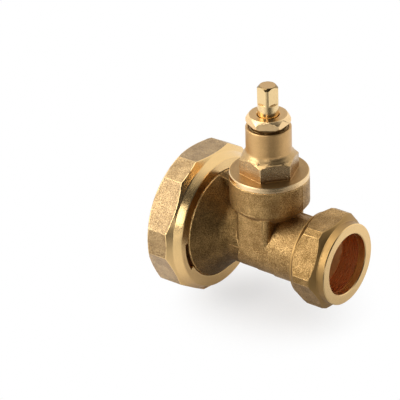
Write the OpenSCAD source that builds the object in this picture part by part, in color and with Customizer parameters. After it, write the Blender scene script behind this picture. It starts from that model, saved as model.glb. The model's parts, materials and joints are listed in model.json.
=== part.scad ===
// Pump gate valve in brass.
// One end has a captive union nut for the threaded port of a circulating pump, the other
// a compression nut and olive for a copper tube. A square spindle lifts a wedge gate.
// X is the waterway, from the union (-X) to the tube (+X). Z is the spindle.
// The origin is where the two axes cross, and the gate is drawn shut.

/* [Waterway and gate] */
// Diameter of the waterway through the seats
port_d = 17; // [15:0.5:18]
// Width of the seat ring round the waterway
seat_land = 1.3; // [1:0.1:1.4]
// Thickness of the wedge on the waterway axis
wedge_t = 9; // [8.8:0.1:9.4]
// Taper of each wedge face, in degrees
wedge_angle = 3; // [2:0.5:4]
// Turns of the spindle from shut to open
lift_turns = 7; // [6:0.5:7]
// Rise of the gate in one turn, which is the pitch of the lifting thread
lift_pitch = 2.5; // [2:0.1:2.6]
// Diameter of the round nut boss on top of the wedge
boss_d = 9.6; // [8.6:0.2:10]
// Height of the boss above the waterway axis when shut
boss_top = 12.6; // [11.6:0.2:12.6]
// Width of the guide rib that keeps the wedge from turning
guide_w = 2.4; // [2:0.2:3]
// How far the guide rib stands into the chamber
guide_h = 1.1; // [0.8:0.1:1.2]

/* [Valve body] */
// Wall between the gate's room and each neck
chest_end_wall = 1.84; // [1.6:0.02:3]
// Wall beside the gate's room
chest_side_wall = 1.55; // [1.4:0.05:2.5]
// Radius of the upright chest edges
chest_edge_r = 2.4; // [1.4:0.2:3]
// Wall from the bonnet thread to the side of the round collar
collar_wall = 1.8; // [1.6:0.1:3]
// Height of the upright side of the collar
collar_h = 10.2; // [8:0.2:11]
// Height of the sloping underside of the collar
collar_slope_h = 4; // [2:0.5:5]
// Top face of the collar above the waterway axis
collar_top = 25.7; // [25.5:0.1:27]
// Wall of the neck and the bell on the union side
bell_wall = 3.1; // [2.6:0.1:3.3]
// Length of the straight neck, chest to bell
tail_neck_len = 3.6; // [3:0.2:5]
// Radius of the hollow outside where neck meets bell
bell_fillet_r = 5; // [4:0.5:6]
// Length of the flange rim, from bell to sealing face
flange_len = 6.8; // [6.6:0.2:9]
// How far each lug that holds the union nut stands out of the rim
lug_h = 1.75; // [1.2:0.05:2.2]
// Thickness of each lug along the waterway
lug_t = 3.7; // [3:0.1:4.5]
// Angle that each lug spans, in degrees
lug_angle = 26; // [18:1:27]
// Thickness of the stiffening web over the bell
web_t = 2.4; // [1.6:0.2:4]

/* [Tube end] */
// Outside diameter of the copper tube
tube_d = 22; // [15:0.5:28]
// Radial room between tube and socket
tube_gap = 0.1; // [0.05:0.01:0.15]
// Distance from the chest face to the stop that the tube meets
tube_stop = 5.3; // [4:0.1:7]
// Wall of the neck round the socket
socket_wall = 1.1; // [1:0.1:2]
// Length of the neck, chest to thread
tube_neck_len = 12.8; // [12:0.2:15]
// Length of the male thread up to the mouth
tube_thread_len = 5.4; // [4.6:0.2:6.6]
// Radial depth of the mouth cone
mouth_flare = 1.5; // [1.3:0.05:1.8]
// Wall from the mouth cone to the top of the male thread
mouth_wall = 1.3; // [1.1:0.1:1.8]
// Wall of the olive at its band
olive_wall = 1.25; // [1:0.05:1.3]
// Length of the band of the olive
olive_band = 3; // [2.4:0.2:3.6]
// Thickness of the thin ends of the olive
olive_lip = 0.15; // [0.1:0.05:0.3]

/* [Compression nut] */
// Wall from the thread to the broad flats
comp_flat_wall = 1.85; // [1.8:0.05:3]
// Width of each broad flat
comp_flat_w = 15; // [13:0.2:17]
// Whole length
comp_len = 14.4; // [14:0.2:16]
// Thickness of the front wall with the tube hole
comp_face_t = 2.8; // [2:0.1:3.5]
// Wall from the thread to the plain turned front
comp_front_wall = 0.95; // [0.5:0.05:1.3]
// Length of the plain turned front
comp_front_len = 3.1; // [2.4:0.1:3.6]
// Wall from the thread to the turned back edge
comp_back_wall = 1.4; // [1.1:0.05:1.6]
// Turn of the hexagon about the waterway, in degrees
comp_turn = 3.2; // [-30:0.1:30]

/* [Union nut] */
// Major diameter of the pump thread
union_thread_d = 47.8; // [40:0.1:60]
// Pitch of the pump thread
union_pitch = 2.31; // [1.5:0.01:2.5]
// Wall from the thread to the broad flats
union_flat_wall = 2.4; // [2.2:0.1:5]
// Width of each broad flat
union_flat_w = 19.2; // [17:0.2:23]
// Whole length
union_len = 14; // [13.4:0.2:16]
// Thickness of the lip behind the lugs
union_lip_t = 2.7; // [2:0.1:3.2]
// Wall from the thread to the edge of the front face
union_face_wall = 0.35; // [0:0.05:0.8]
// Wall from the thread to the root of the turned front band
union_band_wall = 1.7; // [1.2:0.1:2]
// Length of the turned front band
union_band_len = 2.9; // [2.2:0.1:3.4]
// Wall from the thread to the edge of the back face
union_back_wall = 1.9; // [1.4:0.1:2.1]
// Wall left at the corner that is dressed flat where the casting was fed
union_feed_wall = 1.9; // [1.8:0.1:4]
// Radial room round the lugs inside the nut
lug_room = 0.72; // [0.3:0.02:1]
// Angle that each notch in the lip spans, in degrees
notch_angle = 31; // [28:1:34]
// Turn of the hexagon about the waterway, in degrees
union_turn = -2.5; // [-30:0.1:30]
// Angle from the hexagon's top flat to the first notch
notch_turn = 106.5; // [90:0.5:150]

/* [Union washer] */
// Radial room between the washer and the crests of the pump thread
washer_room = 0.77; // [0.3:0.01:1.6]
// How far the washer's hole stays back from the edge of the bore
washer_setback = 0.75; // [0:0.05:1.2]
// Thickness
washer_t = 1.6; // [1:0.1:2.5]

/* [Bonnet] */
// Radial room for the gate in the threaded skirt
skirt_room = 1.1; // [0.4:0.1:1.6]
// Wall of the threaded skirt
skirt_wall = 1.5; // [1.2:0.1:1.8]
// Length of the threaded skirt
skirt_len = 5.4; // [4.6:0.1:5.6]
// How far the round flange stays back from the side of the collar
bonnet_setback = 0.05; // [0:0.05:0.5]
// Thickness of the round flange
bonnet_flange_t = 2; // [1.6:0.1:3]
// Width of the hexagon across its flats
bonnet_af = 18.6; // [18.2:0.2:21]
// Height of the hexagon's corners above the flange
bonnet_hex_h = 5.3; // [4.5:0.1:6.5]
// Rise of the turned top from the hexagon's corners to the middle of its flats
bonnet_crown_h = 1; // [0.6:0.1:1.4]
// Turn of the hexagon about the spindle, in degrees
bonnet_turn = 19; // [-30:1:30]
// Wall of the round stuffing box round the gland thread
box_wall = 1.2; // [0.9:0.05:1.6]
// Height of the stuffing box above the shoulder that holds the spindle down
box_h = 7.8; // [7.2:0.1:9.5]
// Thickness of the bonnet gasket
gasket_t = 0.8; // [0.5:0.1:1.2]
// Radial width of the bonnet gasket
gasket_w = 0.9; // [0.6:0.1:1]

/* [Spindle and gland] */
// Diameter of the spindle through the gland
spindle_d = 7.4; // [7:0.1:8]
// Diameter of the lifting thread
lift_thread_d = 6; // [5.4:0.1:6.2]
// How far the thrust collar stands out of the spindle
thrust_w = 2.1; // [1.6:0.1:2.4]
// Thickness of the thrust collar
thrust_t = 1.75; // [1.4:0.05:2]
// Thickness of each thrust washer
thrust_washer_t = 0.5; // [0.4:0.05:0.7]
// Width of the square across its flats
square_af = 6; // [5.2:0.1:6.4]
// Length of the square
square_len = 6.8; // [5:0.2:9]
// Plain round stretch between gland nut and square
neck_len = 4.3; // [3:0.1:6]
// Chamfer at the top of the square
square_chamfer = 1; // [0.4:0.1:1.4]
// Thickness of the spindle retaining nut
retainer_t = 2.3; // [2:0.1:2.4]
// Radial width of the packing
packing_w = 2.3; // [2:0.1:2.6]
// Thickness of one packing ring
packing_t = 0.9; // [0.7:0.05:1]
// Step from the packing chamber out to the gland thread
gland_step = 0.9; // [0.7:0.05:1.1]
// Thickness of the washer under the packing
base_washer_t = 0.6; // [0.4:0.1:0.8]
// Length of the follower's nose in the packing chamber
follower_nose = 1; // [0.8:0.1:1.4]
// Thickness of the follower's flange
follower_flange_t = 0.7; // [0.5:0.1:1]
// Width of the gland nut across its flats
gland_af = 14; // [13:0.5:15]
// Height of the gland nut's hexagon
gland_hex_h = 3.3; // [2.6:0.1:5]
// Height of shank left showing under the gland nut
gland_gap = 1.3; // [0.6:0.1:2.5]
// Depth of the thread's root, to which the shank is relieved under the hexagon
gland_relief = 0.6; // [0.4:0.05:0.8]
// Radial room between spindle and gland nut
gland_room = 0.25; // [0.2:0.05:0.5]
// Turn of the gland nut about the spindle, in degrees
gland_turn = 2.4; // [-30:0.1:30]
// Turn of the square about the spindle, in degrees
square_turn = -14.3; // [-45:0.1:45]

/* [Fits] */
// Radial room between mating threads and in turning fits
run_fit = 0.05; // [0.03:0.01:0.08]
// Room beside sliding and loose pieces
slide_gap = 0.3; // [0.2:0.05:0.35]

/* [Hidden] */
$fn = 96;
// Small overlap that makes joined volumes one and cuts break through
eps = 0.2;
// Steps along a rounded corner
arc_steps = 10;
// Small turned edge that breaks a corner
edge = 0.3;
// Chamfer where a thread starts
thread_lead = 0.7;
// Size beyond the whole part, for cutting blocks
far = 80;

// Gate and chamber
gate_lift = lift_turns * lift_pitch;
port_r = port_d / 2;
gate_r = port_r + seat_land;
wedge_slope = tan(wedge_angle);
chamber_x = wedge_t / 2 + gate_r * wedge_slope + slide_gap + run_fit;
chamber_y = gate_r + slide_gap + run_fit;
lift_r = lift_thread_d / 2;
spindle_foot = gate_lift - port_r;
gate_floor = spindle_foot - gate_lift - slide_gap;

// Bonnet thread and collar, from the gate's width outwards
skirt_r = gate_r + skirt_room;
bonnet_thread_r = skirt_r + skirt_wall;
gasket_r = bonnet_thread_r + run_fit + 0.35;
collar_r = bonnet_thread_r + collar_wall;
collar_low = collar_top - collar_h;
collar_foot = collar_low - collar_slope_h;
skirt_low = collar_top - skirt_len;
skirt_room_h = 2.6;
chamber_top = skirt_low - skirt_room_h;

// Pump thread, and from its crests inwards the lugs, the flange rim and its bore
union_thread_r = union_thread_d / 2 + run_fit;
union_core_r = union_thread_d / 2 - 0.64 * union_pitch;
lug_r = union_core_r - lug_room;
flange_r = lug_r - lug_h;
flange_bore_r = flange_r - bell_wall;

// Body along the waterway, from the chest to the flange face
chest_x = chamber_x + chest_end_wall;
chest_y = chamber_y + chest_side_wall;
tail_neck_r = port_r + bell_wall;
tail_neck_x = chest_x + tail_neck_len;
bell_axis_r = tail_neck_r + bell_fillet_r;
bell_turn_x = tail_neck_x + bell_fillet_r * sin(45);
bell_turn_r = bell_axis_r - bell_fillet_r * cos(45);
bell_end_x = bell_turn_x + flange_r - bell_turn_r;
flange_x = bell_end_x + flange_len;
bore_fillet_r = bell_fillet_r + bell_wall;
bore_turn_x = tail_neck_x + bore_fillet_r * sin(45);
bore_turn_r = bell_axis_r - bore_fillet_r * cos(45);
flange_bore_x = bore_turn_x + flange_bore_r - bore_turn_r;

// Union nut, measured back from the lugs: lip, room for the lugs, groove, thread
lug_x = flange_x - lug_t;
lip_in_x = lug_x - slide_gap;
union_front_x = lip_in_x - union_lip_t;
union_back_x = union_front_x + union_len;
lip_r = flange_r + slide_gap - run_fit;
notch_r = lug_r + run_fit;
washer_x = flange_x + washer_t;
groove_r = union_thread_r + edge;
groove_x = flange_x - 0.4;
union_thread_x = washer_x + edge;
union_face_r = union_thread_d / 2 + union_face_wall;
union_band_r = union_thread_d / 2 + union_band_wall;
union_back_r = union_thread_d / 2 + union_back_wall;
union_feed_r = union_thread_d / 2 + union_feed_wall;
union_af = union_thread_d + 2 * union_flat_wall;
union_feed_turn = 150;

// Tube end, from the stop to the mouth, then the olive and the nut
socket_r = tube_d / 2 + tube_gap;
tube_neck_r = socket_r + socket_wall;
cone_r = socket_r + mouth_flare;
tube_thread_r = cone_r + mouth_wall;
stop_x = chest_x + tube_stop;
thread_x = chest_x + tube_neck_len;
mouth_x = thread_x + tube_thread_len;
olive_r = socket_r + olive_wall;
olive_end_r = socket_r + olive_lip;
cone_run = 1 / tan(30);
cone_foot_x = mouth_x - mouth_flare * cone_run;
olive_band_x = mouth_x - (cone_r - run_fit - olive_r) * cone_run;
olive_taper = (olive_r - olive_end_r) * cone_run;
olive_x = olive_band_x - olive_taper;
olive_far_x = olive_band_x + olive_band + olive_taper;
nut_cone_x = 2 * olive_band_x + olive_band - mouth_x;
nut_hole_r = socket_r + run_fit;
nut_seat_x = nut_cone_x + (cone_r - nut_hole_r) * cone_run;
comp_face_x = nut_seat_x + comp_face_t;
comp_back_x = comp_face_x - comp_len;
comp_thread_r = tube_thread_r + run_fit;
comp_front_r = tube_thread_r + comp_front_wall;
comp_back_r = tube_thread_r + comp_back_wall;
comp_af = 2 * (tube_thread_r + comp_flat_wall);

// Radii round the spindle, from the inside out
spindle_r = spindle_d / 2;
spindle_bore_r = spindle_r + run_fit;
thrust_r = spindle_r + thrust_w;
packing_r = spindle_r + packing_w;
gland_thread_r = packing_r + gland_step;
gland_hole_r = spindle_r + gland_room;
retainer_bore_r = gland_thread_r + run_fit;
box_r = gland_thread_r + box_wall;

// Heights from the bonnet's flange up
flange_top = collar_top + bonnet_flange_t;
hex_top = flange_top + bonnet_hex_h;
crown_top = hex_top + bonnet_crown_h;
box_foot = crown_top + 0.5;
bonnet_flange_r = collar_r - bonnet_setback;
bonnet_corner_r = bonnet_af / 2 / cos(30);
boss_open_top = boss_top + gate_lift;
retainer_low = boss_open_top + slide_gap;
retainer_top = retainer_low + retainer_t;
thrust_z = retainer_top + thrust_washer_t + run_fit;
thrust_top = thrust_z + thrust_t;
upper_washer_z = thrust_top + run_fit;
shoulder_low = upper_washer_z + thrust_washer_t;
shoulder_t = 1.9;
box_floor = shoulder_low + shoulder_t;
box_top = box_floor + box_h;
packing_z = box_floor + base_washer_t;
packing_count = 3;
follower_z = packing_z + packing_count * packing_t;
follower_flange_z = follower_z + follower_nose;
gland_low = follower_flange_z + follower_flange_t;
gland_thread_floor = follower_flange_z - 0.1;
gland_hex_z = box_top + gland_gap;
gland_top = gland_hex_z + gland_hex_h;
square_z = gland_top + neck_len;
spindle_top = square_z + square_len;

// Turned shape about Z from [radius, height] points
module turned(points) {
    rotate_extrude() polygon(points);
}

// Turned shape about X from [x, radius] points
module turned_x(points) {
    rotate([0, 90, 0]) rotate_extrude() polygon([for (p = points) [p[1], p[0]]]);
}

// Round bar along X, from x0 to x1
module bar_x(r, x0, x1) {
    translate([x0, 0, 0]) rotate([0, 90, 0]) cylinder(r = r, h = x1 - x0);
}

// Round bar along Z, from z0 to z1
module bar_z(r, z0, z1) {
    translate([0, 0, z0]) cylinder(r = r, h = z1 - z0);
}

// Flat ring along Z
module ring_z(r_in, r_out, z0, z1) {
    difference() {
        bar_z(r_out, z0, z1);
        bar_z(r_in, z0 - eps, z1 + eps);
    }
}

// Corner points of a hexagon whose corners are cut, from its flats and their width
function cut_hexagon(af, flat_w) =
    let (half = atan(flat_w / af), r = af / 2 / cos(half))
    [for (i = [0:5]) for (s = [-1, 1]) [r * cos(60 * i + s * half), r * sin(60 * i + s * half)]];

// Corner points of a sharp hexagon
function hexagon(af) = [for (i = [0:5]) [af / 2 / cos(30) * cos(60 * i + 30),
    af / 2 / cos(30) * sin(60 * i + 30)]];

// Outline of a rectangle with rounded corners
function round_rect(w, d, r) =
    [for (q = [0:3]) for (i = [0:arc_steps])
        let (a = 90 * q + 90 * i / arc_steps,
             cx = (q == 0 || q == 3 ? 1 : -1) * (w / 2 - r),
             cy = (q < 2 ? 1 : -1) * (d / 2 - r))
        [cx + r * cos(a), cy + r * sin(a)]];

// Points of the bell's hollow, as [x, radius], for a given distance from its centre
function bell_arc(r) =
    [for (i = [0:arc_steps]) let (a = 45 * i / arc_steps)
        [-(tail_neck_x + r * sin(a)), bell_axis_r - r * cos(a)]];

// Wedge of given half thickness on the axis, tapering down, as wide as asked
module wedge_block(half, width, z0, z1) {
    rotate([90, 0, 0])
        translate([0, 0, -width / 2])
            linear_extrude(height = width)
                polygon([[-half - z0 * wedge_slope, z0], [half + z0 * wedge_slope, z0],
                    [half + z1 * wedge_slope, z1], [-half - z1 * wedge_slope, z1]]);
}

// Chest with flat sides, rounded upright edges and a round bottom
module chest() {
    intersection() {
        translate([0, 0, -far / 2])
            linear_extrude(height = far / 2 + collar_low + 1)
                polygon(round_rect(2 * chest_x, 2 * chest_y, chest_edge_r));
        union() {
            bar_x(chest_y, -chest_x - eps, chest_x + eps);
            translate([-far / 2, -far / 2, 0]) cube([far, far, far]);
        }
    }
}

// Neck, bell and flange rim on the union side
module tail_outside() {
    turned_x(concat(
        [[0, 0], [0, tail_neck_r]],
        bell_arc(bell_fillet_r),
        [[-bell_end_x, flange_r], [-flange_x, flange_r], [-flange_x, 0]]));
}

// Waterway from the seat out to the flange face
module tail_inside() {
    turned_x(concat(
        [[-tail_neck_x, 0]],
        bell_arc(bore_fillet_r),
        [[-flange_bore_x, flange_bore_r], [-flange_x - eps, flange_bore_r], [-flange_x - eps, 0]]));
    bar_x(port_r, -tail_neck_x - eps, -chest_x + eps);
}

// Two lugs on the flange rim
module lugs() {
    for (side = [0, 180])
        rotate([side, 0, 0])
            intersection() {
                bar_x(lug_r, -flange_x, -lug_x);
                translate([-flange_x - eps, 0, 0]) rotate([90, 0, 90])
                    linear_extrude(height = lug_t + 2 * eps)
                        polygon([[0, flange_r / 2],
                            [far * sin(lug_angle / 2), far * cos(lug_angle / 2)],
                            [-far * sin(lug_angle / 2), far * cos(lug_angle / 2)]]);
            }
}

// Thin upright web between bell and collar
module web() {
    rotate([90, 0, 0])
        translate([0, 0, -web_t / 2])
            linear_extrude(height = web_t)
                polygon([[-bell_end_x + 0.4, flange_r - 0.6],
                    [-collar_r + 1, collar_low + 2.6],
                    [-collar_r + 2, tail_neck_r - 1],
                    [-tail_neck_x - 1, tail_neck_r - 1],
                    [-bell_end_x + 0.4, flange_r - 3]]);
}

// Tube neck and its thread
module tube_outside() {
    turned_x([[0, 0], [0, tube_neck_r - edge], [chest_x, tube_neck_r - edge],
        [chest_x + edge, tube_neck_r], [thread_x, tube_neck_r],
        [thread_x, tube_thread_r - thread_lead],
        [thread_x + thread_lead, tube_thread_r], [mouth_x - thread_lead, tube_thread_r],
        [mouth_x, tube_thread_r - thread_lead], [mouth_x, 0]]);
}

// Tube socket with its stop and the mouth cone
module tube_inside() {
    bar_x(socket_r, stop_x, mouth_x + eps);
    turned_x([[cone_foot_x, 0], [cone_foot_x, socket_r], [mouth_x, cone_r],
        [mouth_x + eps, cone_r], [mouth_x + eps, 0]]);
}

// Collar with a sloping underside
module collar_outside() {
    turned([[0, collar_foot], [chest_x + 3, collar_foot], [collar_r - 0.8, collar_low - 0.6],
        [collar_r, collar_low + 0.4], [collar_r, collar_top], [0, collar_top]]);
}

// Room for the gate: a flat chamber with a round floor
module chamber() {
    bar_x(chamber_y + run_fit, -chamber_x, chamber_x);
    translate([-chamber_x, -chamber_y, 0])
        cube([2 * chamber_x, 2 * chamber_y, chamber_top + eps]);
    bar_z(skirt_r + slide_gap, chamber_top, skirt_low + eps);
    bar_z(bonnet_thread_r + run_fit, skirt_low - 0.4, collar_top + eps);
}

// Seat rings that face the wedge, one on each side
module seats() {
    for (turn = [0, 180])
        rotate([0, 0, turn])
            difference() {
                bar_x(gate_r, wedge_t / 2 - 1, chamber_x + eps);
                wedge_block(wedge_t / 2 + run_fit, far, -far / 2, far / 2);
            }
}

// Two ribs that guide the wedge
module guides() {
    for (side = [-1, 1])
        translate([-guide_w / 2, side * (chamber_y - guide_h / 2 + eps / 2) - guide_h / 2 - eps / 2,
                -gate_r / 2])
            cube([guide_w, guide_h + eps, chamber_top + gate_r / 2]);
}

module valve_body() {
    color([0.62, 0.47, 0.27])
        difference() {
            union() {
                difference() {
                    union() {
                        chest();
                        collar_outside();
                        tube_outside();
                        tail_outside();
                        lugs();
                        web();
                    }
                    chamber();
                }
                seats();
                guides();
            }
            bar_x(port_r, -chest_x, stop_x + eps);
            tail_inside();
            tube_inside();
            ring_z(gasket_r, gasket_r + gasket_w, collar_top - gasket_t, collar_top + eps);
        }
}

// Inside of the bonnet: gate room, retaining thread, thrust room, spindle hole, stuffing box
module bonnet_inside() {
    turned([[0, skirt_low - eps], [skirt_r, skirt_low - eps], [skirt_r, collar_top - 1.7],
        [retainer_bore_r, flange_top + 0.9], [retainer_bore_r, retainer_top + run_fit],
        [thrust_r + slide_gap, retainer_top + run_fit], [thrust_r + slide_gap, shoulder_low],
        [spindle_bore_r, shoulder_low], [spindle_bore_r, box_floor],
        [packing_r, box_floor], [packing_r, gland_thread_floor],
        [gland_thread_r + run_fit, gland_thread_floor],
        [gland_thread_r + run_fit, box_top - edge],
        [gland_thread_r + run_fit + edge, box_top + eps / 20], [0, box_top + eps / 20]]);
}

// Profile that the bonnet is turned to: the crown of the hexagon, a hollow foot and the
// round stuffing box
function bonnet_profile() =
    [[0, flange_top - 0.5], [far, flange_top - 0.5], [far, hex_top + 0.1],
     [bonnet_corner_r, hex_top], [bonnet_af / 2, crown_top], [bonnet_af / 2 - 0.1, box_foot],
     [box_r + 0.4, box_foot + 0.8], [box_r + 0.1, box_foot + 1.5], [box_r, box_foot + 2.4],
     [box_r, box_top - edge], [box_r - edge, box_top], [0, box_top]];

module bonnet() {
    color([0.78, 0.60, 0.34])
        difference() {
            union() {
                bar_z(bonnet_thread_r, skirt_low, collar_top + 0.5);
                turned([[0, collar_top], [bonnet_flange_r - edge / 2, collar_top],
                    [bonnet_flange_r, collar_top + edge / 2],
                    [bonnet_flange_r, flange_top - edge],
                    [bonnet_flange_r - edge, flange_top], [0, flange_top]]);
                intersection() {
                    rotate([0, 0, bonnet_turn])
                        linear_extrude(height = far)
                            polygon(hexagon(bonnet_af));
                    turned(bonnet_profile());
                }
            }
            bonnet_inside();
        }
}

module bonnet_gasket() {
    color([0.16, 0.16, 0.17])
        ring_z(gasket_r + run_fit, gasket_r + gasket_w - run_fit, collar_top - gasket_t,
            collar_top);
}

// Threaded ring under the thrust collar, with two spanner slots
module spindle_retaining_nut() {
    color([0.80, 0.64, 0.38])
        difference() {
            ring_z(lift_r + 2 * run_fit, gland_thread_r, retainer_low, retainer_top);
            for (side = [-1, 1])
                translate([side * (gland_thread_r - 1) - 1, -1, retainer_low - eps])
                    cube([2, 2, 1 + eps]);
        }
}

module lower_thrust_washer() {
    color([0.92, 0.92, 0.90])
        ring_z(lift_r + 2 * run_fit, thrust_r, retainer_top, retainer_top + thrust_washer_t);
}

module upper_thrust_washer() {
    color([0.92, 0.92, 0.90])
        ring_z(spindle_bore_r, thrust_r, upper_washer_z, shoulder_low);
}

// Spindle turned from bar, with a square milled on its top
module spindle() {
    color([0.86, 0.70, 0.42])
        difference() {
            turned([[0, spindle_foot], [lift_r - 0.6, spindle_foot], [lift_r, spindle_foot + 0.6],
                [lift_r, thrust_z], [thrust_r, thrust_z], [thrust_r, thrust_top],
                [spindle_r, thrust_top], [spindle_r, spindle_top - square_chamfer],
                [spindle_r - square_chamfer * 0.9, spindle_top], [0, spindle_top]]);
            for (i = [0:3])
                rotate([0, 0, square_turn + 90 * i])
                    translate([square_af / 2, -far / 2, square_z])
                        cube([far, far, square_len + eps]);
        }
}

// Wedge with a nut boss on top, drilled for the lifting thread
module wedge_gate() {
    color([0.72, 0.55, 0.31])
        difference() {
            union() {
                intersection() {
                    bar_x(gate_r, -wedge_t, wedge_t);
                    wedge_block(wedge_t / 2, 2 * gate_r + 1, -gate_r - 1, gate_r + 1);
                }
                bar_z(boss_d / 2, 0, boss_top);
            }
            bar_z(lift_r + run_fit, gate_floor, boss_top + eps);
            for (side = [-1, 1])
                translate([-guide_w / 2 - slide_gap / 2,
                        side * (gate_r + 0.5) - 0.5 - guide_h + run_fit, -far / 2])
                    cube([guide_w + slide_gap, 1 + 2 * (guide_h - run_fit), far]);
        }
}

module packing_base_washer() {
    color([0.80, 0.64, 0.38])
        ring_z(spindle_bore_r, packing_r - run_fit, box_floor, packing_z);
}

// One square packing ring, counted from below
module packing_ring(index) {
    color([0.20, 0.20, 0.21])
        ring_z(spindle_r + 0.02, packing_r - 0.02, packing_z + index * packing_t,
            packing_z + (index + 1) * packing_t);
}

module packing_ring_lower() {
    packing_ring(0);
}

module packing_ring_middle() {
    packing_ring(1);
}

module packing_ring_upper() {
    packing_ring(packing_count - 1);
}

module gland_follower() {
    color([0.80, 0.64, 0.38])
        difference() {
            union() {
                bar_z(packing_r - run_fit, follower_z, gland_low - 0.1);
                bar_z(gland_thread_r - slide_gap / 2, follower_flange_z, gland_low);
            }
            bar_z(spindle_bore_r, follower_z - eps, gland_low + eps);
        }
}

// Gland nut: a threaded shank under a low hexagon with a turned top
module gland_nut() {
    corner_r = gland_af / 2 / cos(30);
    color([0.84, 0.67, 0.40])
        difference() {
            union() {
                turned([[0, gland_low], [gland_thread_r - thread_lead, gland_low],
                    [gland_thread_r, gland_low + thread_lead], [gland_thread_r, box_top - 0.4],
                    [gland_thread_r - gland_relief, box_top - 0.2],
                    [gland_thread_r - gland_relief, gland_hex_z + eps],
                    [0, gland_hex_z + eps]]);
                intersection() {
                    rotate([0, 0, gland_turn])
                        linear_extrude(height = far)
                            polygon(hexagon(gland_af));
                    turned([[0, gland_hex_z], [corner_r - 0.7, gland_hex_z],
                        [corner_r - 0.15, gland_hex_z + 0.55],
                        [corner_r - 0.15, gland_top - 1.5],
                        [corner_r - 1.35, gland_top], [0, gland_top]]);
                }
            }
            turned([[0, gland_low - eps], [gland_hole_r, gland_low - eps],
                [gland_hole_r, gland_top - edge], [gland_hole_r + edge, gland_top + run_fit],
                [0, gland_top + run_fit]]);
        }
}

// Captive nut: hexagon with cut corners, turned band in front, thread behind a notched lip
module union_nut() {
    corner_r = union_af / 2 / cos(atan(union_flat_w / union_af));
    band_x = union_front_x + union_band_len;
    color([0.80, 0.62, 0.34])
        difference() {
            intersection() {
                rotate([union_turn, 0, 0]) rotate([90, 0, -90])
                    linear_extrude(height = far)
                        rotate([0, 0, 30]) polygon(cut_hexagon(union_af, union_flat_w));
                turned_x([[-union_front_x, 0], [-union_front_x, union_face_r - edge],
                    [-union_front_x - edge, union_face_r], [-band_x, union_band_r],
                    [-band_x - (corner_r + 1 - union_band_r) * tan(33), corner_r + 1],
                    [-union_back_x + (corner_r + 1 - union_back_r) * tan(40), corner_r + 1],
                    [-union_back_x, union_back_r], [-union_back_x, 0]]);
            }
            rotate([union_turn + union_feed_turn, 0, 0])
                translate([-far, -far / 2, union_feed_r]) cube([far, far, far]);
            bar_x(lip_r, -lip_in_x - eps, -union_front_x + eps);
            turned_x([[-lip_in_x, 0], [-lip_in_x, union_core_r], [-groove_x, union_core_r],
                [-groove_x, groove_r], [-union_thread_x, groove_r],
                [-union_thread_x, union_thread_r],
                [-union_back_x + thread_lead, union_thread_r],
                [-union_back_x - run_fit, union_thread_r + thread_lead],
                [-union_back_x - run_fit, 0]]);
            for (side = [0, 180])
                rotate([union_turn + notch_turn + side, 0, 0])
                    intersection() {
                        bar_x(notch_r, -lip_in_x - eps, -union_front_x + eps);
                        translate([-lip_in_x - 1, 0, 0]) rotate([90, 0, 90])
                            linear_extrude(height = union_lip_t + 2)
                                polygon([[0, 0],
                                    [far * sin(notch_angle / 2), far * cos(notch_angle / 2)],
                                    [-far * sin(notch_angle / 2), far * cos(notch_angle / 2)]]);
                    }
        }
}

module union_washer() {
    color([0.72, 0.10, 0.10])
        difference() {
            bar_x(union_core_r - washer_room, -washer_x, -flange_x);
            bar_x(flange_bore_r + washer_setback, -washer_x - eps, -flange_x + eps);
        }
}

// Compression nut: hexagon with cut corners and a plain turned front
module compression_nut() {
    corner_r = comp_af / 2 / cos(atan(comp_flat_w / comp_af));
    front_x = comp_face_x - comp_front_len;
    color([0.80, 0.62, 0.34])
        difference() {
            intersection() {
                translate([comp_back_x - 1, 0, 0])
                    rotate([comp_turn, 0, 0]) rotate([90, 0, 90])
                        linear_extrude(height = far)
                            rotate([0, 0, 30]) polygon(cut_hexagon(comp_af, comp_flat_w));
                turned_x([[comp_back_x, 0], [comp_back_x, comp_back_r - edge],
                    [comp_back_x + edge, comp_back_r], [comp_back_x + 1, comp_back_r],
                    [comp_back_x + 1 + corner_r + 1 - comp_back_r, corner_r + 1],
                    [front_x - (corner_r + 1 - comp_front_r) * tan(30), corner_r + 1],
                    [front_x, comp_front_r], [comp_face_x - edge, comp_front_r],
                    [comp_face_x, comp_front_r - edge], [comp_face_x, 0]]);
            }
            turned_x([[comp_back_x - run_fit, 0], [comp_back_x - run_fit, comp_thread_r + edge],
                [comp_back_x + edge, comp_thread_r], [nut_cone_x - 2 * edge, comp_thread_r],
                [nut_cone_x - 2 * edge, cone_r], [nut_cone_x, cone_r], [nut_seat_x, nut_hole_r],
                [comp_face_x - edge, nut_hole_r], [comp_face_x + run_fit, nut_hole_r + edge],
                [comp_face_x + run_fit, 0]]);
        }
}

// Copper ring that is squeezed on the tube between the two cones
module olive() {
    color([0.72, 0.42, 0.26])
        turned_x([[olive_x, socket_r], [olive_x, olive_end_r], [olive_band_x, olive_r],
            [olive_band_x + olive_band, olive_r], [olive_far_x, olive_end_r],
            [olive_far_x, socket_r]]);
}

valve_body();
bonnet();
bonnet_gasket();
spindle_retaining_nut();
lower_thrust_washer();
upper_thrust_washer();
spindle();
wedge_gate();
packing_base_washer();
packing_ring_lower();
packing_ring_middle();
packing_ring_upper();
gland_follower();
gland_nut();
union_nut();
union_washer();
compression_nut();
olive();
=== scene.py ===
# %% [markdown]
# # A pump gate valve in brass
# This valve shuts one side of a heating pump. The big captive nut on its left screws on the pump,
# the small nut on its right squeezes a copper ring on the pipe, and the square on top lifts the gate.
# The solids come in from the imported model as a fixed frame. Here the ones that show are softened,
# finished and lit. First the frame is loaded.

# %% Load the frame
import json
import math
import bpy
import bmesh
from mathutils import Matrix, Vector

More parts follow.
